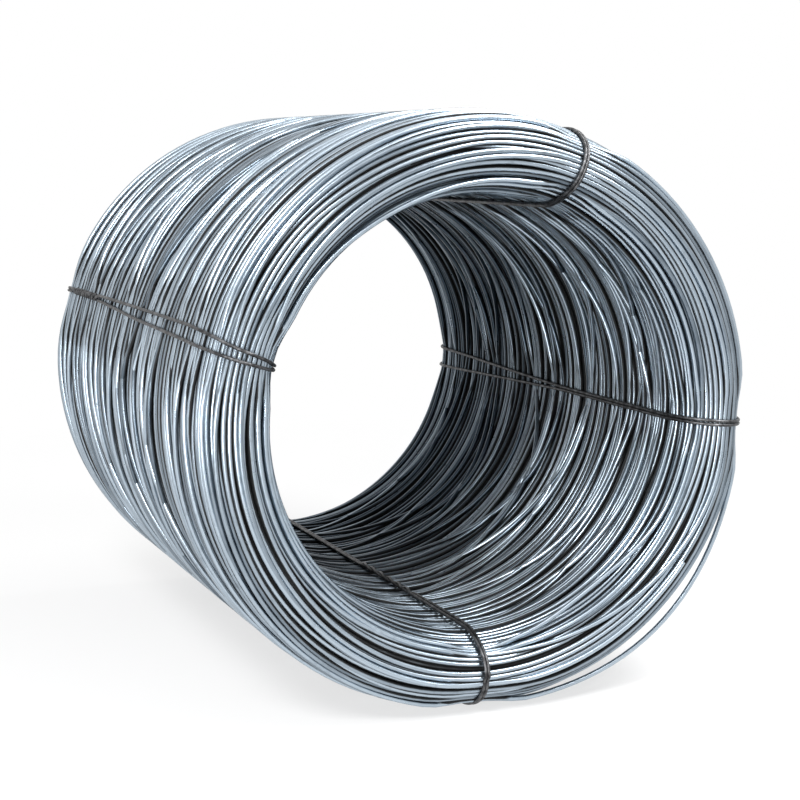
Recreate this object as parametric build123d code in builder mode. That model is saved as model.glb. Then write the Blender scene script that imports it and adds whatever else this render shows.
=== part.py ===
"""Coil of steel wire rod lying on its side, bound by four doubled tie wires.

The coil is one turned solid: a thick ring of rod turns with a straight bore and rounded ends, on which the
turns show as ridges one rod diameter apart. The coil axis runs along Y, the ground is Z = 0, and the origin
is below the middle of the coil. Each tie goes round the wall of the coil, through the bore and along the
outside, and sinks into a channel where it pinches the turns. Its ends are twisted on the far shoulder.
"""

import math
import os

from build123d import *

# Coil of rod, in millimetres and degrees
rod_diameter = 10.0
bore_diameter = 850.0
wall_thickness = 150.0
coil_length = 1300.0
shoulder_radius = 140.0
shoulder_angle = 40.0
shoulder_facets = 2
turn_groove_share = 0.5
ridged_share = 0.8

# Tie wires, each laid double
tie_wire_diameter = 6.5
seat_clearance = 0.3
flush_margin = 0.3
channel_side_clearance = 0.8
tie_valley_share = 0.5
tie_angles = {"right": -4.0, "top": 69.5, "left": 163.5, "bottom": 267.8}

# Twisted ends of each tie: slanted wraps along the far end, towards the outside
wrap_count = 2
wrap_length_share = 1.75
wrap_tilt = 40.0
wrap_spacing_share = 1.75
wrap_sides = 4
wrap_rise_share = 0.2
twist_place_angle = 46.0

cut_overrun = 20.0

# Derived sizes
bore_radius = bore_diameter / 2
outer_radius = bore_radius + wall_thickness
axis_height = outer_radius
half_wall = wall_thickness / 2
middle_radius = bore_radius + half_wall
shoulder_turn = math.radians(shoulder_angle)
shoulder_drop = shoulder_radius * (1 - math.cos(shoulder_turn))
crest_radius = (half_wall - shoulder_drop) / math.cos(shoulder_turn)
shoulder_reach = shoulder_radius * math.sin(shoulder_turn)
end_depth = shoulder_reach + crest_radius * (1 - math.sin(shoulder_turn))
straight_length = coil_length - 2 * end_depth
crest_centre = coil_length / 2 - crest_radius
crest_turn = math.pi - 2 * shoulder_turn
turn_step = rod_diameter / crest_radius
turns_beside_middle = math.floor(ridged_share * crest_turn / turn_step / 2)
turn_groove_depth = turn_groove_share * rod_diameter
tie_width = 2 * tie_wire_diameter
wrap_length = wrap_length_share * tie_wire_diameter
wrap_spacing = wrap_spacing_share * tie_wire_diameter
channel_width = tie_width + 2 * channel_side_clearance
channel_depth = tie_wire_diameter + seat_clearance + flush_margin
coil_axis = Axis((0, 0, axis_height), (0, 1, 0))


def crest_point(radius, turn):
    """Point at a radius from the centre of the crest, at an angle from the end direction towards the bore."""
    return (-radius * math.sin(turn), crest_centre + radius * math.cos(turn))


def end_points(end):
    """Points over one end of the coil from bore to outside: shoulder, turn crests with grooves, shoulder."""
    half = []
    for facet in range(shoulder_facets):
        angle = shoulder_turn * facet / shoulder_facets
        drop = shoulder_radius * (1 - math.cos(angle))
        half.append((half_wall - drop, straight_length / 2 + shoulder_radius * math.sin(angle)))
    crest = [crest_point(crest_radius, crest_turn / 2)]
    for half_step in range(-2 * turns_beside_middle, 2 * turns_beside_middle + 1):
        in_groove = half_step % 2 == 1
        radius = crest_radius - turn_groove_depth if in_groove else crest_radius
        crest.append(crest_point(radius, -half_step * turn_step / 2))
    crest.append(crest_point(crest_radius, -crest_turn / 2))
    offsets = [(-across, along) for across, along in half] + crest + list(reversed(half))
    return [(middle_radius + across, end * along) for across, along in offsets]


def wall_outline(inset):
    """Closed outline of the wall's section, moved inwards by an inset, starting half way along the bore."""
    start = (bore_radius + inset, 0)
    bore = Line(start, (bore_radius + inset, straight_length / 2))
    last = bore
    for end in (1, -1):
        for radius, arc_angle in (
            (shoulder_radius, shoulder_angle),
            (crest_radius, math.degrees(crest_turn)),
            (shoulder_radius, shoulder_angle),
        ):
            last = JernArc(last @ 1, last % 1, radius - inset, -arc_angle)
        if end == 1:
            last = Line(last @ 1, (outer_radius - inset, -straight_length / 2))
    Line(last @ 1, start)


def wall_plane(angle):
    """Plane through the coil axis at an angle about it: local X is radial, local Y runs along the axis."""
    radial = Vector(math.cos(math.radians(angle)), 0, math.sin(math.radians(angle)))
    return Plane(origin=(0, 0, axis_height), x_dir=radial, z_dir=radial.cross(Vector(0, 1, 0)))


# Coil: the profile of the wall turned about the axis, then the channels that the ties press into it
with BuildPart() as wire_coil:
    with BuildSketch(Plane.XY.offset(axis_height)):
        with BuildLine():
            Polyline(*end_points(1), *reversed(end_points(-1)), close=True)
        make_face()
    revolve(axis=coil_axis)
    for tie_angle in tie_angles.values():
        with BuildSketch(wall_plane(tie_angle)):
            with Locations((middle_radius, 0)):
                Rectangle(wall_thickness + 2 * cut_overrun, coil_length + 2 * cut_overrun)
            with BuildLine():
                wall_outline(channel_depth)
            make_face(mode=Mode.SUBTRACT)
        extrude(amount=channel_width / 2, both=True, mode=Mode.SUBTRACT)
wire_coil.part.label = "wire_coil"


def tie(angle):
    """One doubled tie wire: two strands side by side round the wall of the coil, closed by slanted wraps."""
    plane = wall_plane(angle)
    seat_inset = channel_depth - seat_clearance
    valley = tie_wire_diameter * (1 - tie_valley_share)
    half_strand = tie_wire_diameter / 2
    section = [(0, -tie_wire_diameter), (0, tie_wire_diameter), (tie_wire_diameter, half_strand)]
    section += [(valley, 0), (tie_wire_diameter, -half_strand)]
    path_start = plane.origin + plane.x_dir * (bore_radius + seat_inset)
    arc_centre = plane.origin + plane.x_dir * middle_radius + plane.y_dir * crest_centre
    tilt = math.radians(wrap_tilt)
    with BuildPart() as one_tie:
        with BuildLine(plane):
            wall_outline(seat_inset)
        with BuildSketch(Plane(origin=path_start, x_dir=-plane.x_dir, z_dir=plane.y_dir)):
            with BuildLine():
                Polyline(*section, close=True)
            make_face()
        sweep()
        for wrap in range(wrap_count):
            from_middle = (wrap - (wrap_count - 1) / 2) * wrap_spacing / crest_radius
            place_angle = math.radians(twist_place_angle) + from_middle
            outward = plane.x_dir * math.cos(place_angle) + plane.y_dir * math.sin(place_angle)
            along_arc = plane.y_dir * math.cos(place_angle) - plane.x_dir * math.sin(place_angle)
            along_wrap = plane.z_dir * math.cos(tilt) + along_arc * math.sin(tilt)
            middle = arc_centre + outward * (crest_radius - flush_margin + wrap_rise_share * tie_wire_diameter)
            with BuildSketch(Plane(origin=middle, x_dir=outward, z_dir=along_wrap)):
                RegularPolygon(tie_wire_diameter / 2, wrap_sides, major_radius=False)
            extrude(amount=wrap_length / 2, both=True)
    return one_tie.part


os.makedirs("parts", exist_ok=True)
export_step(wire_coil.part, "parts/wire_coil.step")
for name, tie_angle in tie_angles.items():
    tie_wire = tie(tie_angle)
    tie_wire.label = f"tie_wire_{name}"
    export_step(tie_wire, f"parts/{tie_wire.label}.step")
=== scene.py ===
import math

import bpy
import numpy as np
from mathutils import Matrix, Vector


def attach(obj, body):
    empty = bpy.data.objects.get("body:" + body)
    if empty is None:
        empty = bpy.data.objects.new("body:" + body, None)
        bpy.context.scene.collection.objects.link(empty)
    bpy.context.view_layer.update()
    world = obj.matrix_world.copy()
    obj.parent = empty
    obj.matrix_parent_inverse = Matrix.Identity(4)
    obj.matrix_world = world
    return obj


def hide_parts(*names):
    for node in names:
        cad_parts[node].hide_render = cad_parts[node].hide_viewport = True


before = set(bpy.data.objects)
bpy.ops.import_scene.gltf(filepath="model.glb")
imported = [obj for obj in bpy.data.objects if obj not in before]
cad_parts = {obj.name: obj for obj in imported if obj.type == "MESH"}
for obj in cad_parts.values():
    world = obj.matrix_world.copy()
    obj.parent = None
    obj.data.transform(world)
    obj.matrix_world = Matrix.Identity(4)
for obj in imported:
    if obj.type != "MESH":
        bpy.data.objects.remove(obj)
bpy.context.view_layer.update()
scene = bpy.context.scene
scene.view_settings.view_transform = "Standard"
print("frame loaded, nodes:", ", ".join(sorted(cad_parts)))


# sRGB hex colour to linear, with an alpha of 1
def toLinear(hexColour):
    parts = [int(hexColour[i:i + 2], 16) / 255 for i in (1, 3, 5)]
    return tuple(c / 12.92 if c <= 0.04045 else ((c + 0.055) / 1.055) ** 2.4 for c in parts) + (1.0,)


# New node with its settings; an input is a value, or another node's output to link
def addNode(tree, kind, inputs=None, **settings):
    node = tree.nodes.new(kind)
    for name, value in settings.items():
        setattr(node, name, value)
    for name, value in (inputs or {}).items():
        socket = node.inputs[name]
        if isinstance(value, bpy.types.NodeSocket):
            tree.links.new(value, socket)
        else:
            socket.default_value = value
    return node


def newMaterial(name):
    material = bpy.data.materials.new(name)
    material.use_nodes = True
    tree = material.node_tree
    tree.nodes.clear()
    return material, tree


# Scale of a pattern from the size of its marks in millimetres
def patternScale(sizeMm):
    return 1000 / sizeMm


# Cold-drawn steel rod: pulled through a die, so smooth and bright on top, with a faint blue cast and grey
# drag marks. Its flanks, the gaps between the turns and the turns that lie deeper are painted near black as
# shade. Marks and grain are drawn coarser than the real ones, so that they show.
rodFinish = {
    # the last colour is the painted shade, near black, for the flanks of the turns and the gaps between them
    "bright": "#ACB9C4", "dull": "#4D5862", "drag": "#3A4148", "paintedShade": "#0B0D0F",
    "patchMm": 70.0, "patchShare": 0.5, "toneSpan": (0.15, 1.0),
    "markMm": 40.0, "markSpan": (0.56, 0.72), "markShare": 0.3,
    "grainMm": 5.0, "grainStrength": 0.05, "grainHeight": 0.0003,
    "roughness": (0.20, 0.40), "paintedShadeRoughness": 0.8,
    # depths of the painted shade, in rod diameters; sunkShare is the share of the depth past sunkFrom that
    # is added
    "unshadedTo": 0.11, "shadedFrom": 0.29, "unevenBy": 0.2, "clearBy": 0.3, "sunkFrom": 1.1, "sunkShare": 0.3,
}


def makeRodSteel():
    material, tree = newMaterial("drawn_steel_rod")
    tone = addNode(tree, "ShaderNodeAttribute", attribute_name="tone")
    deep = addNode(tree, "ShaderNodeAttribute", attribute_name="deep")
    place = addNode(tree, "ShaderNodeTexCoord")
    patch = addNode(tree, "ShaderNodeTexNoise", {"Vector": place.outputs["Object"],
                    "Scale": patternScale(rodFinish["patchMm"]), "Detail": 3.0, "Roughness": 0.6})
    # each turn has its own tone, and patches of dull film run over the turns
    mixed = addNode(tree, "ShaderNodeMath", {0: patch.outputs["Fac"], 1: rodFinish["patchShare"],
                    2: tone.outputs["Fac"]}, operation="MULTIPLY_ADD")
    ramp = addNode(tree, "ShaderNodeValToRGB", {"Fac": mixed.outputs[0]})
    ramp.color_ramp.elements[0].position = rodFinish["toneSpan"][0]
    ramp.color_ramp.elements[0].color = toLinear(rodFinish["dull"])
    ramp.color_ramp.elements[1].position = rodFinish["toneSpan"][1]
    ramp.color_ramp.elements[1].color = toLinear(rodFinish["bright"])
    # drag marks: dark flecks
    marks = addNode(tree, "ShaderNodeTexNoise", {"Vector": place.outputs["Object"],
                    "Scale": patternScale(rodFinish["markMm"]), "Detail": 4.0, "Roughness": 0.7})
    markMask = addNode(tree, "ShaderNodeMapRange", {"Value": marks.outputs["Fac"],
                       "From Min": rodFinish["markSpan"][0], "From Max": rodFinish["markSpan"][1],
                       "To Min": 0.0, "To Max": rodFinish["markShare"]})
    steel = addNode(tree, "ShaderNodeMix", {"Factor": markMask.outputs[0], "A": ramp.outputs["Color"],
                    "B": toLinear(rodFinish["drag"])}, data_type="RGBA")
    # painted shade by depth below the top of the turn, near black and dull, with an uneven edge
    uneven = addNode(tree, "ShaderNodeMath", {0: patch.outputs["Fac"], 1: rodFinish["unevenBy"],
                     2: -rodFinish["unevenBy"] / 2}, operation="MULTIPLY_ADD")
    depth = addNode(tree, "ShaderNodeMath", {0: deep.outputs["Fac"], 1: uneven.outputs[0]}, operation="ADD")
    paintedShade = addNode(tree, "ShaderNodeMapRange", {"Value": depth.outputs[0], "From Min": rodFinish["unshadedTo"],
                   "From Max": rodFinish["shadedFrom"]}, interpolation_type="SMOOTHSTEP")
    colour = addNode(tree, "ShaderNodeMix", {"Factor": paintedShade.outputs[0], "A": steel.outputs["Result"],
                     "B": toLinear(rodFinish["paintedShade"])}, data_type="RGBA")
    metal = addNode(tree, "ShaderNodeMath", {0: 1.0, 1: paintedShade.outputs[0]}, operation="SUBTRACT")
    smooth = addNode(tree, "ShaderNodeMapRange", {"Value": marks.outputs["Fac"],
                     "To Min": rodFinish["roughness"][0], "To Max": rodFinish["roughness"][1]})
    rough = addNode(tree, "ShaderNodeMix", {"Factor": paintedShade.outputs[0], "A": smooth.outputs[0],
                    "B": rodFinish["paintedShadeRoughness"]})
    grain = addNode(tree, "ShaderNodeTexNoise", {"Vector": place.outputs["Object"],
                    "Scale": patternScale(rodFinish["grainMm"]), "Detail": 2.0})
    bump = addNode(tree, "ShaderNodeBump", {"Height": grain.outputs["Fac"],
                   "Strength": rodFinish["grainStrength"], "Distance": rodFinish["grainHeight"]})
    shader = addNode(tree, "ShaderNodeBsdfPrincipled", {"Base Color": colour.outputs["Result"],
                     "Metallic": metal.outputs[0], "Roughness": rough.outputs[0], "Normal": bump.outputs[0]})
    addNode(tree, "ShaderNodeOutputMaterial", {"Surface": shader.outputs[0]})
    return material


# Black annealed tie wire: soft, oily and dull, nearly black with grey rubbed spots
tieFinish = {"black": "#3A3A3B", "rubbed": "#77787A", "spotMm": 14.0, "spotSpan": (0.42, 0.72),
             "roughness": (0.6, 0.38), "spotStrength": 0.2, "spotHeight": 0.0005}


def makeTieSteel():
    material, tree = newMaterial("annealed_tie_wire")
    place = addNode(tree, "ShaderNodeTexCoord")
    spots = addNode(tree, "ShaderNodeTexNoise", {"Vector": place.outputs["Object"],
                    "Scale": patternScale(tieFinish["spotMm"]), "Detail": 4.0, "Roughness": 0.65})
    ramp = addNode(tree, "ShaderNodeValToRGB", {"Fac": spots.outputs["Fac"]})
    ramp.color_ramp.elements[0].position = tieFinish["spotSpan"][0]
    ramp.color_ramp.elements[0].color = toLinear(tieFinish["black"])
    ramp.color_ramp.elements[1].position = tieFinish["spotSpan"][1]
    ramp.color_ramp.elements[1].color = toLinear(tieFinish["rubbed"])
    rough = addNode(tree, "ShaderNodeMapRange", {"Value": spots.outputs["Fac"],
                    "To Min": tieFinish["roughness"][0], "To Max": tieFinish["roughness"][1]})
    bump = addNode(tree, "ShaderNodeBump", {"Height": spots.outputs["Fac"],
                   "Strength": tieFinish["spotStrength"], "Distance": tieFinish["spotHeight"]})
    shader = addNode(tree, "ShaderNodeBsdfPrincipled", {"Metallic": 1.0, "Base Color": ramp.outputs["Color"],
                     "Roughness": rough.outputs[0], "Normal": bump.outputs[0]})
    addNode(tree, "ShaderNodeOutputMaterial", {"Surface": shader.outputs[0]})
    return material


# Inner turns, seen only through gaps: the same rod in deep shade, painted near black as shade with lighter
# grey spots
innerShade = {"deepShade": "#0B0D0F", "shadeSpots": "#23282C", "shadeSpotsMm": 25.0, "roughness": 0.7}


def makeInnerShade():
    material, tree = newMaterial("inner_rod_painted_shade")
    place = addNode(tree, "ShaderNodeTexCoord")
    shadeSpots = addNode(tree, "ShaderNodeTexNoise", {"Vector": place.outputs["Object"],
                   "Scale": patternScale(innerShade["shadeSpotsMm"]), "Detail": 3.0})
    ramp = addNode(tree, "ShaderNodeValToRGB", {"Fac": shadeSpots.outputs["Fac"]})
    ramp.color_ramp.elements[0].color = toLinear(innerShade["deepShade"])
    ramp.color_ramp.elements[1].color = toLinear(innerShade["shadeSpots"])
    shader = addNode(tree, "ShaderNodeBsdfPrincipled", {"Base Color": ramp.outputs["Color"],
                     "Roughness": innerShade["roughness"]})
    addNode(tree, "ShaderNodeOutputMaterial", {"Surface": shader.outputs[0]})
    return material


rodSteel, tieSteel, innerShadeMaterial = makeRodSteel(), makeTieSteel(), makeInnerShade()
print("materials made")

# The coil: sizes in metres, angles in degrees, as in the solid
coil = {"rodDiameter": 0.010, "boreRadius": 0.425, "wall": 0.150, "length": 1.300, "shoulderRadius": 0.140,
        "shoulderAngle": 40.0}
halfWall = coil["wall"] / 2
middleRadius = coil["boreRadius"] + halfWall
outerRadius = coil["boreRadius"] + coil["wall"]
axisHeight = outerRadius
shoulderTurn = math.radians(coil["shoulderAngle"])
shoulderDrop = coil["shoulderRadius"] * (1 - math.cos(shoulderTurn))
shoulderReach = coil["shoulderRadius"] * math.sin(shoulderTurn)
crestRadius = (halfWall - shoulderDrop) / math.cos(shoulderTurn)
crestCentre = coil["length"] / 2 - crestRadius
straightHalf = crestCentre + crestRadius * math.sin(shoulderTurn) - shoulderReach
ties = {"right": -4.0, "top": 69.5, "left": 163.5, "bottom": 267.8}      # degrees round the axis


# Goes smoothly from 0 at low to 1 at high
def smoothStep(low, high, value):
    t = np.clip((value - low) / (high - low), 0, 1)
    return t * t * (3 - 2 * t)


# Turn from one angle to others, at most half a turn either way
def turnFrom(start, angles):
    return np.angle(np.exp(1j * (angles - start)))


# 0 on the straight wall and 1 on the ends, between two places measured from where the shoulders start
def shareOverEnd(along, span):
    return smoothStep(straightHalf + span[0], straightHalf + span[1], np.abs(along))


# Closed line round the wall's section at a depth below its surface: its points, its length and the outward
# directions at its points
def wallLine(depth, step=0.002, arcPoints=40):
    arcs = ((np.linspace(0, shoulderTurn, arcPoints, endpoint=False), coil["shoulderRadius"],
             halfWall - coil["shoulderRadius"], straightHalf),
            (np.linspace(shoulderTurn, math.pi / 2, arcPoints), crestRadius, 0.0, crestCentre))
    quarter, out = [], []
    for turns, radius, across, along in arcs:
        reach = radius - depth
        for turn in turns:
            quarter.append((across + reach * math.cos(turn), along + reach * math.sin(turn)))
            out.append((math.cos(turn), math.sin(turn)))
    quarter, out = np.array(quarter), np.array(out)
    sides = [(-1, 1), (1, 1), (1, -1), (-1, -1)]      # bore far, outside far, outside near, bore near
    points = np.concatenate([(quarter if i % 2 == 0 else quarter[::-1]) * side
                             for i, side in enumerate(sides)])
    outs = np.concatenate([(out if i % 2 == 0 else out[::-1]) * side
                           for i, side in enumerate(sides)])
    loop = np.concatenate([points, points[:1]])
    outLoop = np.concatenate([outs, outs[:1]])
    length = np.r_[0, np.cumsum(np.linalg.norm(np.diff(loop, axis=0), axis=1))]
    even = np.arange(0, length[-1], step)
    line = np.stack([np.interp(even, length, loop[:, i]) for i in (0, 1)], 1)
    normal = np.stack([np.interp(even, length, outLoop[:, i]) for i in (0, 1)], 1)
    return line, length[-1], normal / np.linalg.norm(normal, axis=1, keepdims=True)


# Depth below the wall's surface and the outward direction there, for points of the section
def depthBelow(points):
    tiny = 1e-9
    side = np.sign(points) + (points == 0)
    across, along = np.abs(points[..., 0]), np.abs(points[..., 1])
    fromShoulder = np.stack([across - (halfWall - coil["shoulderRadius"]), along - straightHalf], -1)
    fromCrest = np.stack([across, along - crestCentre], -1)
    turn = np.arctan2(fromShoulder[..., 1], fromShoulder[..., 0])
    shoulderGap = np.linalg.norm(fromShoulder, axis=-1)
    crestGap = np.linalg.norm(fromCrest, axis=-1) + tiny
    onWall, onShoulder = turn <= 0, (turn > 0) & (turn < shoulderTurn)
    depth = np.where(onWall, halfWall - across,
                     np.where(onShoulder, coil["shoulderRadius"] - shoulderGap, crestRadius - crestGap))
    out = np.where(onWall[..., None], np.array([1.0, 0.0], np.float32),
                   np.where(onShoulder[..., None], fromShoulder / (shoulderGap[..., None] + tiny),
                            fromCrest / crestGap[..., None]))
    return depth, out * side


# Section points put in place at angles round the coil's axis
def inPlace(section, angle):
    radius = middleRadius + section[..., 0]
    return np.stack([radius * np.cos(angle), section[..., 1], axisHeight + radius * np.sin(angle)], -1)


# One tree sweeps a round section along every path of a piece
def makeSweepTree():
    tree = bpy.data.node_groups.new("roundSweep", "GeometryNodeTree")
    sockets = {"Paths": "NodeSocketGeometry", "Diameter": "NodeSocketFloat", "Sides": "NodeSocketInt",
               "Material": "NodeSocketMaterial"}
    for name, kind in sockets.items():
        tree.interface.new_socket(name, in_out="INPUT", socket_type=kind)
    tree.interface.new_socket("Rod", in_out="OUTPUT", socket_type="NodeSocketGeometry")
    given = addNode(tree, "NodeGroupInput")
    half = addNode(tree, "ShaderNodeMath", {0: given.outputs["Diameter"], 1: 0.5}, operation="MULTIPLY")
    ring = addNode(tree, "GeometryNodeCurvePrimitiveCircle", {"Resolution": given.outputs["Sides"],
                   "Radius": half.outputs[0]}, mode="RADIUS")
    paths = addNode(tree, "GeometryNodeMeshToCurve", {"Mesh": given.outputs["Paths"]})
    swept = addNode(tree, "GeometryNodeCurveToMesh", {"Curve": paths.outputs[0],
                    "Profile Curve": ring.outputs[0], "Fill Caps": True})
    smooth = addNode(tree, "GeometryNodeSetShadeSmooth", {"Geometry": swept.outputs[0]})
    plain = addNode(tree, "GeometryNodeRealizeInstances", {"Geometry": smooth.outputs[0]})
    finish = addNode(tree, "GeometryNodeSetMaterial", {"Geometry": plain.outputs[0],
                     "Material": given.outputs["Material"]})
    addNode(tree, "NodeGroupOutput", {"Rod": finish.outputs[0]})
    return tree


sweepTree = makeSweepTree()


# Depth of each point below the top of its turn, in diameters, which sets the painted shade: more on turns
# that lie deeper, and nothing on those that stand clear of the coil
def markDepth(mesh, diameter, sides):
    spots = np.empty(len(mesh.vertices) * 3, np.float32)
    mesh.vertices.foreach_get("co", spots)
    spots = spots.reshape(-1, 3)
    across = np.hypot(spots[:, 0], spots[:, 2] - axisHeight) - middleRadius
    depth = depthBelow(np.stack([across, spots[:, 1]], -1))[0].reshape(-1, sides) / diameter
    centre = depth.mean(1, keepdims=True)
    inCoil = smoothStep(-rodFinish["clearBy"], rodFinish["clearBy"], centre)
    sunk = np.maximum(0, centre - rodFinish["sunkFrom"])
    # the top of a turn is half a diameter above its middle
    deep = (depth - centre + 0.5) * inCoil + rodFinish["sunkShare"] * sunk
    mesh.attributes.new("deep", "FLOAT", "POINT").data.foreach_set("value", deep.astype(np.float32).ravel())


# One piece of round stock along paths; turns of rod come with a tone each, and their depth is marked for the
# painted shade
def sweepPaths(name, paths, closed, diameter, sides, material, tones=None):
    points = np.concatenate(paths)
    edges, start = [], 0
    for path in paths:
        index = np.arange(start, start + len(path))
        pairs = np.stack([index, np.roll(index, -1)], 1)
        edges.append(pairs if closed else pairs[:-1])
        start += len(path)
    edges = np.concatenate(edges)
    mesh = bpy.data.meshes.new(name + "_paths")
    mesh.vertices.add(len(points))
    mesh.vertices.foreach_set("co", points.astype(np.float32).ravel())
    mesh.edges.add(len(edges))
    mesh.edges.foreach_set("vertices", edges.astype(np.int32).ravel())
    if tones is not None:
        tone = np.repeat(tones, [len(path) for path in paths])
        mesh.attributes.new("tone", "FLOAT", "POINT").data.foreach_set("value", tone.astype(np.float32))
    source = bpy.data.objects.new(name + "_paths", mesh)
    scene.collection.objects.link(source)
    sweep = source.modifiers.new("sweep", "NODES")
    sweep.node_group = sweepTree
    values = {"Diameter": diameter, "Sides": sides, "Material": material}
    for item in sweepTree.interface.items_tree:
        if item.item_type == "SOCKET" and item.in_out == "INPUT" and item.name in values:
            sweep[item.identifier] = values[item.name]
    ready = source.evaluated_get(bpy.context.evaluated_depsgraph_get())
    result = bpy.data.meshes.new_from_object(ready)
    source.modifiers.remove(sweep)
    bpy.data.objects.remove(source)
    if tones is not None:
        markDepth(result, diameter, sides)
    piece = bpy.data.objects.new(name, result)
    scene.collection.objects.link(piece)
    print(f"{name}: {len(paths)} runs, {len(result.polygons)} faces")
    return piece


# The turns lie singly or two or three together, with gaps between, over a full layer that shows in the gaps
bundle = {
    "stations": 128, "sides": 8, "underSides": 6, "seed": 11, "mostTriangles": 190000,
    "groupShares": (0.66, 0.26, 0.08), "liftShares": (-1.5, 1.0), "swayWaves": 5,
    # the tone lowered far in the bore, over a span given below, is painted shade
    "overTurns": 64, "overJitter": 0.4, "underJitter": 0.1, "endCalm": 0.75, "boreShade": 0.55,
    "floorTurn": 0.42,      # radians from the lowest line of the coil
    # in rod diameters
    "touch": 1.05, "wallGap": (0.75, 1.95), "endGap": (0.0, 0.3), "underDepth": 1.85, "underPitch": 1.12,
    "overRise": 0.3, "deepest": 2.4,
    # in metres
    "groupSway": 0.0045, "ownSway": 0.0016, "groupLift": 0.0030, "overSway": 0.040, "overLift": 0.006,
    "pressWall": 0.0004, "pressEnd": 0.0030, "pressUnder": 0.0069, "pressFull": 0.014, "pressFade": 0.10,
    "pressSpan": (-0.02, 0.06), "gapSpan": (-0.10, 0.02), "calmSpan": (-0.12, 0.04),
    "boreShadeSpan": (-0.3, 0.35),
}
# how the turns settle: rounds, neighbours that each turn minds, and shares of a move made in one round
settle = {"rounds": 70, "neighbours": 36, "push": 0.7, "pull": 0.02, "even": 0.25}
stationAngle = np.arange(bundle["stations"]) * 2 * math.pi / bundle["stations"]


# Depth to which a tie presses the turns: most under the coil, where it must not touch the floor, and more
# over the ends than on the wall
def pressDepth(points, under):
    overEnd = shareOverEnd(points[..., 1], bundle["pressSpan"])
    press = bundle["pressWall"] + (bundle["pressEnd"] - bundle["pressWall"]) * overEnd
    return np.where((under > 0) & (points[..., 0] > 0), bundle["pressUnder"], press)


# For each station: how free the turns are of the nearest tie, whether that is the one under the coil, and
# how near the floor they are
turnsTo = [np.abs(turnFrom(math.radians(angle), stationAngle)) for angle in ties.values()]
tieGap = np.min(turnsTo, axis=0) * middleRadius
freeShare = smoothStep(bundle["pressFull"], bundle["pressFade"], tieGap).astype(np.float32)
underShare = (np.argmin(turnsTo, axis=0) == list(ties).index("bottom")).astype(np.float32)
nearFloor = np.exp(-(turnFrom(-math.pi / 2, stationAngle) / bundle["floorTurn"]) ** 2).astype(np.float32)


# Places of the outer turns along the section's line, and the group that each is in
def layGroups(rng, line, length):
    size = coil["rodDiameter"]
    overEnd = shareOverEnd(line[:, 1], bundle["gapSpan"])
    starts, groups, at, group = [], [], 0.0, 0
    while at < length:
        end = np.interp(at, np.linspace(0, length, len(line)), overEnd)
        for _ in range(1 + rng.choice(len(bundle["groupShares"]), p=bundle["groupShares"])):
            starts.append(at)
            groups.append(group)
            at += bundle["touch"] * size
        at += size * ((1 - end) * rng.uniform(*bundle["wallGap"]) + end * rng.uniform(*bundle["endGap"]))
        group += 1
    return np.array(starts) * length / at, np.array(groups)


# A slow wander round the coil for each turn or group
def wander(rng, count, reach):
    path = np.zeros((count, bundle["stations"]))
    for waves in range(1, bundle["swayWaves"] + 1):
        own = rng.normal(0, 1, (count, 2)) / waves
        path += own[:, :1] * np.cos(waves * stationAngle) + own[:, 1:] * np.sin(waves * stationAngle)
    return reach * path


# Layers of turns: the section's line that each follows, its length, and its turns' places, sways and lifts
def planLayers(rng):
    size = coil["rodDiameter"]
    line, length = wallLine(size / 2)[:2]
    starts, groups = layGroups(rng, line, length)
    count = groups[-1] + 1
    sway = wander(rng, count, bundle["groupSway"])[groups] + wander(rng, len(starts), bundle["ownSway"])
    lift = (bundle["groupLift"] * rng.uniform(*bundle["liftShares"], count))[groups]
    outer = line, length, starts, sway, lift
    # a full layer below, seen through the gaps
    underRng = np.random.default_rng(bundle["seed"] + 1)
    line, length = wallLine(size * bundle["underDepth"])[:2]
    count = int(length / (bundle["underPitch"] * size))
    jitter = underRng.uniform(-bundle["underJitter"], bundle["underJitter"], count)
    starts = (np.arange(count) + jitter) / count * length
    below = line, length, starts, wander(underRng, count, bundle["ownSway"]), np.zeros(count)
    # turns that cross over the others, calmer on the ends
    line, length = wallLine(-bundle["overRise"] * size)[:2]
    count = bundle["overTurns"]
    jitter = rng.uniform(-bundle["overJitter"], bundle["overJitter"], count)
    starts = (np.arange(count) + jitter) / count * length
    along = np.interp(starts % length, np.linspace(0, length, len(line)), line[:, 1])
    calm = 1 - bundle["endCalm"] * shareOverEnd(along, bundle["calmSpan"])
    sway = wander(rng, count, bundle["overSway"]) * calm[:, None]
    crossing = line, length, starts, sway, np.full(count, bundle["overLift"])
    return outer, below, crossing


# Turns pushed apart, pulled back to their goals, evened out, and kept between a least and the greatest depth
def settleTurns(goal, least):
    size, tiny = coil["rodDiameter"], 1e-6
    middle = goal.mean(1)
    gap = np.linalg.norm(middle[:, None] - middle[None], axis=-1)
    np.fill_diagonal(gap, 9)      # far off, so that no turn is its own neighbour
    near = np.argsort(gap, axis=1)[:, :settle["neighbours"]]
    place = goal.copy()
    for _ in range(settle["rounds"]):
        away = place[:, None] - place[near]
        far = np.sqrt((away ** 2).sum(-1)) + tiny
        # each of two turns takes half of their overlap
        place += settle["push"] * (away * (np.maximum(0, size - far) / far * 0.5)[..., None]).sum(1)
        place += settle["pull"] * (goal - place)
        place += settle["even"] * (np.roll(place, 1, 1) + np.roll(place, -1, 1) - 2 * place)
        depth, out = depthBelow(place)
        place -= out * np.maximum(0, least - depth)[..., None]
        place += out * np.maximum(0, depth - size * bundle["deepest"])[..., None]
    return place


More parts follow.
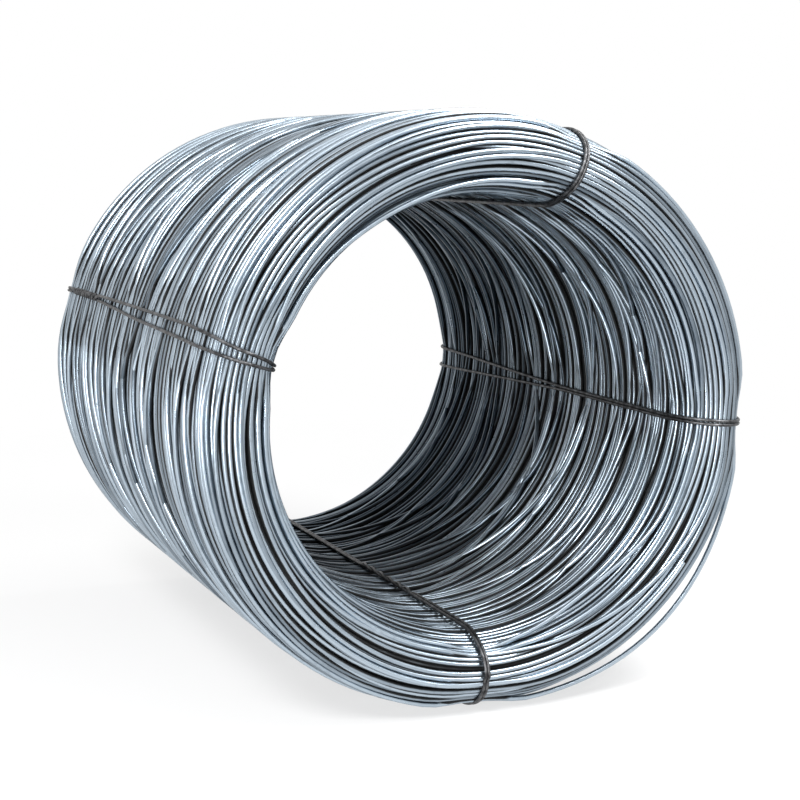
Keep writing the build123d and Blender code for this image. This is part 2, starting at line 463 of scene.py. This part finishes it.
# Every turn's points in the section at each station, its tone, and whether it is in the layer below
def layTurns():
    rng = np.random.default_rng(bundle["seed"])
    layers = planLayers(rng)
    goals, lifts = [], []
    for line, length, starts, sway, lift in layers:
        at = (starts[:, None] + sway) % length
        grid = np.linspace(0, length, len(line) + 1)
        goals.append(np.stack([np.interp(at, grid, np.r_[line[:, i], line[0, i]]) for i in (0, 1)], -1))
        lifts.append(lift)
    goal = np.concatenate(goals).astype(np.float32)
    # pressed in at the ties, proud or sunk between them, never below the floor
    lift = np.concatenate(lifts)[:, None]
    loose = np.where(lift > 0, lift * freeShare * (1 - nearFloor), lift)
    press = pressDepth(goal, underShare) * (1 - freeShare)
    least = (coil["rodDiameter"] / 2 + press - loose).astype(np.float32)
    out = depthBelow(goal)[1]
    goal += (out * loose[..., None]).astype(np.float32)
    place = settleTurns(goal, least)
    # turns far in the bore get a lower tone, which darkens them: painted shade, deeper towards the far end
    middle = place.mean(1)
    inBore = (middle[:, 0] < 0) * smoothStep(*bundle["boreShadeSpan"], middle[:, 1])
    under = np.repeat((False, True, False), [len(layerLift) for layerLift in lifts])
    return place.astype(float), rng.uniform(0, 1, len(place)) - bundle["boreShade"] * inBore, under


sections, toneOf, isUnder = layTurns()
print(f"{len(sections)} turns laid")


# Pieces by place, split where one would be too heavy
def sweepTurns():
    paths = [inPlace(section, stationAngle) for section in sections]
    middle = sections.mean(1)
    atEnd = np.abs(middle[:, 1]) > straightHalf
    outside, near = middle[:, 0] > 0, middle[:, 1] < 0
    groups = {
        "rod_turns_outside": ~isUnder & ~atEnd & outside,
        "rod_turns_bore": ~isUnder & ~atEnd & ~outside,
        "rod_turns_near_end": ~isUnder & atEnd & near,
        "rod_turns_far_end": ~isUnder & atEnd & ~near,
        "rod_turns_under": isUnder,
    }
    made = []
    for name, inGroup in groups.items():
        chosen = np.flatnonzero(inGroup)
        sides = bundle["underSides"] if name == "rod_turns_under" else bundle["sides"]
        triangles = len(chosen) * bundle["stations"] * sides * 2
        parts = np.array_split(chosen, max(1, math.ceil(triangles / bundle["mostTriangles"])))
        for number, part in enumerate(parts):
            label = name if len(parts) == 1 else f"{name}_{number + 1}"
            mine = [paths[i] for i in part]
            made.append(sweepPaths(label, mine, True, coil["rodDiameter"], sides, rodSteel, toneOf[part]))
    return made


# Loose turns: where each rides on the near end, in degrees about the crest's centre from the outside to the
# bore, and how far it bows outwards (inwards where negative), in metres, between two angles round the coil.
# The ride is the height of their middles over the coil's surface, in rod diameters.
looseTurns = {
    "ride": 0.38, "tone": 0.7,
    "turns": [
        {"crestAngle": 12.0, "from": -4.0, "to": -92.0, "bow": 0.024},
        {"crestAngle": 165.0, "from": -24.0, "to": -90.0, "bow": -0.026},
        {"crestAngle": 150.0, "from": 150.0, "to": 80.0, "bow": -0.010},
    ],
}
# The turn with the rod's cut end: from there it rides on the near end like a loose turn, and past a share of
# its run it dives under the others, in rod diameters
cutTurn = {"crestAngle": 80.0, "from": -37.0, "to": -250.0, "points": 90, "tone": 0.8, "diveFrom": 0.35,
           "dive": 1.8}


# Section points of a turn that rides on the near end and is pressed in at the ties
def rideOn(crestAngle, angle):
    size = coil["rodDiameter"]
    turn = math.radians(crestAngle)
    spot = np.array([crestRadius * math.cos(turn), -crestCentre - crestRadius * math.sin(turn)])
    depth, out = depthBelow(spot[None])
    wholeTurn = 2 * math.pi
    free = np.interp(angle, np.r_[stationAngle, wholeTurn], np.r_[freeShare, freeShare[0]], period=wholeTurn)
    sink = (size / 2 + bundle["pressEnd"]) * (1 - free) - looseTurns["ride"] * size * free
    return spot + out * (depth - sink[:, None])


def layLooseTurns():
    paths = []
    for stray in looseTurns["turns"]:
        section = rideOn(stray["crestAngle"], stationAngle)
        passed = np.degrees(turnFrom(math.radians(stray["from"]), stationAngle))
        share = passed / (stray["to"] - stray["from"])
        bow = np.sin(math.pi * np.clip(share, 0, 1)) ** 2
        section[:, 0] += stray["bow"] * np.where((share > 0) & (share < 1), bow, 0)
        paths.append(inPlace(section, stationAngle))
    return paths


def layCutTurn():
    angle = np.radians(np.linspace(cutTurn["from"], cutTurn["to"], cutTurn["points"]))
    section = rideOn(cutTurn["crestAngle"], angle)
    out = depthBelow(section)[1]
    dive = smoothStep(cutTurn["diveFrom"], 1.0, np.linspace(0, 1, cutTurn["points"]))
    section -= out * (cutTurn["dive"] * coil["rodDiameter"] * dive)[:, None]
    return inPlace(section, angle)


# Ring under the visible turns, which stands for the turns inside, painted near black as their shade; its
# depth in rod diameters
core = {"depth": 2.5, "step": 0.02, "stations": 96}


def makeCore():
    line = wallLine(coil["rodDiameter"] * core["depth"], core["step"])[0]
    stations, count = core["stations"], len(line)
    angles = np.linspace(0, 2 * math.pi, stations, endpoint=False)
    points = np.concatenate([inPlace(line, np.full(count, angle)) for angle in angles])
    faces = []
    for i in range(stations):
        here, there = i * count, (i + 1) % stations * count
        for j in range(count):
            k = (j + 1) % count
            faces.append((here + j, there + j, there + k, here + k))
    mesh = bpy.data.meshes.new("inner_turns")
    mesh.from_pydata(points.tolist(), [], faces)
    mesh.materials.append(innerShadeMaterial)
    mesh.shade_smooth()
    piece = bpy.data.objects.new("inner_turns", mesh)
    scene.collection.objects.link(piece)
    return piece


coilPieces = sweepTurns()
coilPieces.append(sweepPaths("rod_turns_loose", layLooseTurns(), True, coil["rodDiameter"], bundle["sides"],
                             rodSteel, [looseTurns["tone"]] * len(looseTurns["turns"])))
coilPieces.append(sweepPaths("rod_cut_end", [layCutTurn()], False, coil["rodDiameter"], bundle["sides"],
                             rodSteel, [cutTurn["tone"]]))
coilPieces.append(makeCore())
for piece in coilPieces:
    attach(piece, "root")
    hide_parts("wire_coil")
print("coil placed")

# Tie wires, in metres. Marks run along the coil from the far end to the near end. At each mark the two
# strands have places across the tie's middle line, outside and in the bore, side by side where none are
# given. A twist is outside (1) or in the bore (-1), from one place along the coil to another, with its
# number of turns.
tie = {"wire": 0.0065, "sides": 10, "points": 320, "step": 0.001, "smoothRounds": 12, "smoothShare": 0.3,
       "marks": (0.60, 0.44, 0.18, -0.11, -0.51, -0.60, -0.65)}
flat = tie["wire"] / 2
beside = (-flat,) * len(tie["marks"]), (flat,) * len(tie["marks"])
noTwist = 0, 1.0, 0.0, 0.0
tieLay = {
    "left": {"outside": ((-0.0165, -0.0185, -0.022, -0.0235, -0.024, -0.019, -0.006),
                         (-0.010, -0.012, -0.010, -0.001, 0.005, 0.0085, 0.013)),
             "bore": ((-flat, -flat, -flat, 0.002, 0.006, 0.007, -0.003),
                      (flat, flat, flat, 0.0085, 0.0125, 0.015, 0.0135)),
             "twist": (1, 0.50, 0.22, 4.0)},
    "top": {},
    "right": {"bore": ((-0.0235, -0.020, -0.0114, -flat, -flat, -flat, -0.0045),
                       (0.0235, 0.020, 0.0114, flat, flat, flat, 0.0045))},
    "bottom": {"bore": ((-flat, -flat, -flat, -flat, -0.006, -flat, -flat),
                        (flat, flat, flat, flat, 0.006, flat, flat)),
               "twist": (-1, 0.02, -0.28, 3.0)},
}


# The bed that a tie lies on, round the whole section: points, outward directions, the middle of its strands
# and half their distance
def layBed(name):
    lay = tieLay[name]
    wall = wallLine(0.0, tie["step"])
    pick = np.linspace(0, len(wall[0]), tie["points"], endpoint=False).astype(int)
    line, normal = wall[0][pick], wall[2][pick]
    bed = line - normal * pressDepth(line, 1.0 if name == "bottom" else 0.0)[:, None]
    marks = tie["marks"][::-1]
    strands = []
    for side in (0, 1):
        outside = np.interp(line[:, 1], marks, lay.get("outside", beside)[side][::-1])
        inside = np.interp(line[:, 1], marks, lay.get("bore", beside)[side][::-1])
        place = np.where(line[:, 0] > 0, outside, inside)
        for _ in range(tie["smoothRounds"]):
            place = place + tie["smoothShare"] * (np.roll(place, 1) + np.roll(place, -1) - 2 * place)
        strands.append(place)
    return bed, normal, (strands[0] + strands[1]) / 2, (strands[1] - strands[0]) / 2


# A strand's points in place, from its section and its places across the tie's middle line
def strandInPlace(name, section, across):
    return inPlace(section, math.radians(ties[name]) + across / (middleRadius + section[:, 0]))


def layTie(name):
    bed, normal, middle, half = layBed(name)
    # where strands come too near, one rides over the other
    rise = np.sqrt(np.maximum(0, tie["wire"] ** 2 - (2 * half) ** 2))
    face, start, end, turns = tieLay[name].get("twist", noTwist)
    wound = np.clip((start - bed[:, 1]) / (start - end), 0, 1)
    roll = np.where(np.sign(bed[:, 0]) == face, 2 * math.pi * turns * wound, 0)
    strands = []
    for side in (-1, 1):
        across = middle + side * half * np.cos(roll)
        lift = np.where(roll > 0, flat * (1 + side * np.sin(roll)) * np.minimum(1, roll), rise * (side > 0))
        strands.append(strandInPlace(name, bed + normal * (flat + lift)[:, None], across))
    return strands


# Ends of a tie, wound round its strands: where on the section they start, or else at an angle over the far
# crest from the outside, how far they go, in metres, and how often they wind; rise and spread in tie wire
# diameters
knot = {
    "points": 90, "rise": 0.75, "spread": 0.8, "crestAngle": 62.0,
    "left": {"start": (halfWall, 0.45), "length": 0.20, "turns": 5.0},
    "top": {"length": 0.07, "turns": 2.5},
    "right": {"length": 0.07, "turns": 2.5},
    "bottom": {"start": (-0.01, coil["length"] / 2), "length": 0.07, "turns": 2.5},
}
knotTurn = math.radians(knot["crestAngle"])
farCorner = crestRadius * math.cos(knotTurn), crestCentre + crestRadius * math.sin(knotTurn)


def layKnot(name):
    bed, normal, middle = layBed(name)[:3]
    step = np.linalg.norm(np.diff(bed, axis=0), axis=1).mean()
    first = np.argmin(np.linalg.norm(bed - np.array(knot[name].get("start", farCorner)), axis=1))
    pick = first + np.linspace(0, knot[name]["length"] / step, knot["points"])
    index = np.arange(len(bed))
    bed = np.stack([np.interp(pick, index, bed[:, i]) for i in (0, 1)], 1)
    normal = np.stack([np.interp(pick, index, normal[:, i]) for i in (0, 1)], 1)
    middle = np.interp(pick, index, middle)
    strands = []
    for side in (0, math.pi):
        roll = np.linspace(0, 2 * math.pi * knot[name]["turns"], knot["points"]) + side
        section = bed + normal * (flat + knot["rise"] * tie["wire"] * (1 + np.sin(roll)))[:, None]
        across = middle + knot["spread"] * tie["wire"] * np.cos(roll)
        strands.append(strandInPlace(name, section, across))
    return strands


for name in ties:
    loops = sweepPaths("tie_" + name, layTie(name), True, tie["wire"], tie["sides"], tieSteel)
    twist = sweepPaths("tie_twist_" + name, layKnot(name), False, tie["wire"], tie["sides"], tieSteel)
    for piece in (loops, twist):
        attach(piece, "root")
        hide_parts("tie_wire_" + name)
print("ties placed")

# Pale floor that keeps a soft shadow and fades to the white surround away from the coil, in metres; how
# white it shows near the coil, and how strong the surround is on dull surfaces
stage = {"floor": "#F4F4F4", "halfSize": 30, "fadeSpan": (0.9, 3.2), "nearWhite": 0.7, "dullWhite": 0.5}


# 1 for rays that show the background: straight to the camera, or by way of a shiny or clear surface
def addSeen(tree):
    path = addNode(tree, "ShaderNodeLightPath")
    seen = addNode(tree, "ShaderNodeMath", {0: path.outputs["Is Camera Ray"],
                   1: path.outputs["Is Transmission Ray"]}, operation="MAXIMUM")
    return addNode(tree, "ShaderNodeMath", {0: seen.outputs[0], 1: path.outputs["Is Glossy Ray"]},
                   operation="MAXIMUM").outputs[0]


def makeFloor():
    material, tree = newMaterial("pale_studio_floor")
    seen = addSeen(tree)
    place = addNode(tree, "ShaderNodeTexCoord")
    reach = addNode(tree, "ShaderNodeVectorMath", {0: place.outputs["Object"]}, operation="LENGTH")
    fade = addNode(tree, "ShaderNodeMapRange", {"Value": reach.outputs["Value"],
                   "From Min": stage["fadeSpan"][0], "From Max": stage["fadeSpan"][1],
                   "To Min": stage["nearWhite"], "To Max": 1.0})
    seen = addNode(tree, "ShaderNodeMath", {0: seen, 1: fade.outputs[0]}, operation="MULTIPLY")
    plain = addNode(tree, "ShaderNodeBsdfDiffuse", {"Color": toLinear(stage["floor"])})
    glow = addNode(tree, "ShaderNodeEmission", {"Color": (1, 1, 1, 1), "Strength": 1.0})
    mixed = addNode(tree, "ShaderNodeMixShader", {0: seen.outputs[0], 1: plain.outputs[0],
                    2: glow.outputs[0]})
    addNode(tree, "ShaderNodeOutputMaterial", {"Surface": mixed.outputs[0]})
    half = stage["halfSize"]
    mesh = bpy.data.meshes.new("studio_floor")
    corners = [(-half, -half, 0), (half, -half, 0), (half, half, 0), (-half, half, 0)]
    mesh.from_pydata(corners, [], [(0, 1, 2, 3)])
    mesh.materials.append(material)
    floor = bpy.data.objects.new("studio_floor", mesh)
    scene.collection.objects.link(floor)


def makeSurround():
    world = bpy.data.worlds.new("studio_surround")
    world.use_nodes = True
    tree = world.node_tree
    tree.nodes.clear()
    level = addNode(tree, "ShaderNodeMapRange", {"Value": addSeen(tree), "To Min": stage["dullWhite"],
                    "To Max": 1.0})
    sky = addNode(tree, "ShaderNodeBackground", {"Color": (1, 1, 1, 1), "Strength": level.outputs[0]})
    addNode(tree, "ShaderNodeOutputWorld", {"Surface": sky.outputs[0]})
    scene.world = world


# Square lamps that aim at the middle of the coil: places and sizes in metres, power in watts
lamps = {
    "key": {"at": (-2.4, -2.8, 3.4), "power": 190.0, "size": 1.3},
    "front": {"at": (1.2, -1.9, 2.9), "power": 120.0, "size": 1.2},
    "top": {"at": (1.4, 0.2, 3.8), "power": 60.0, "size": 1.6},
    "lowLeft": {"at": (-2.8, -0.6, 0.45), "power": 4.0, "size": 0.8},
    "lowFront": {"at": (-2.2, -2.4, 0.45), "power": 36.0, "size": 0.8},
}


def makeLamps():
    aim = Vector((0, 0, axisHeight))
    for name, lamp in lamps.items():
        data = bpy.data.lights.new("lamp_" + name, "AREA")
        data.energy, data.size = lamp["power"], lamp["size"]
        thing = bpy.data.objects.new("lamp_" + name, data)
        thing.location = lamp["at"]
        thing.rotation_euler = (aim - Vector(lamp["at"])).to_track_quat("-Z", "Y").to_euler()
        scene.collection.objects.link(thing)


# Camera at the photograph's angle, in degrees; lens in pixels of the frame, offsets in outer radii
camera = {"azimuth": -22.477, "elevation": 8.192, "roll": -0.04, "lensPixels": 1728.4, "framePixels": 800,
          "offset": (-0.1137, -0.0803, 6.651), "sensorMm": 36.0}


def makeCamera():
    turn, rise, roll = (math.radians(camera[k]) for k in ("azimuth", "elevation", "roll"))
    back = Vector((math.sin(turn) * math.cos(rise), -math.cos(turn) * math.cos(rise), math.sin(rise)))
    right = Vector((math.cos(turn), math.sin(turn), 0))
    up = back.cross(right)
    right, up = right * math.cos(roll) + up * math.sin(roll), up * math.cos(roll) - right * math.sin(roll)
    across, down, ahead = camera["offset"]
    place = (-right * across + up * down + back * ahead) * outerRadius + Vector((0, 0, axisHeight))
    data = bpy.data.cameras.new("view")
    data.sensor_width = camera["sensorMm"]
    data.lens = camera["lensPixels"] / camera["framePixels"] * data.sensor_width
    thing = bpy.data.objects.new("view", data)
    thing.matrix_world = Matrix.Translation(place) @ Matrix((right, up, back)).transposed().to_4x4()
    scene.collection.objects.link(thing)
    scene.camera = thing


makeFloor()
makeSurround()
makeLamps()
makeCamera()
print("stage, lamps and camera set")
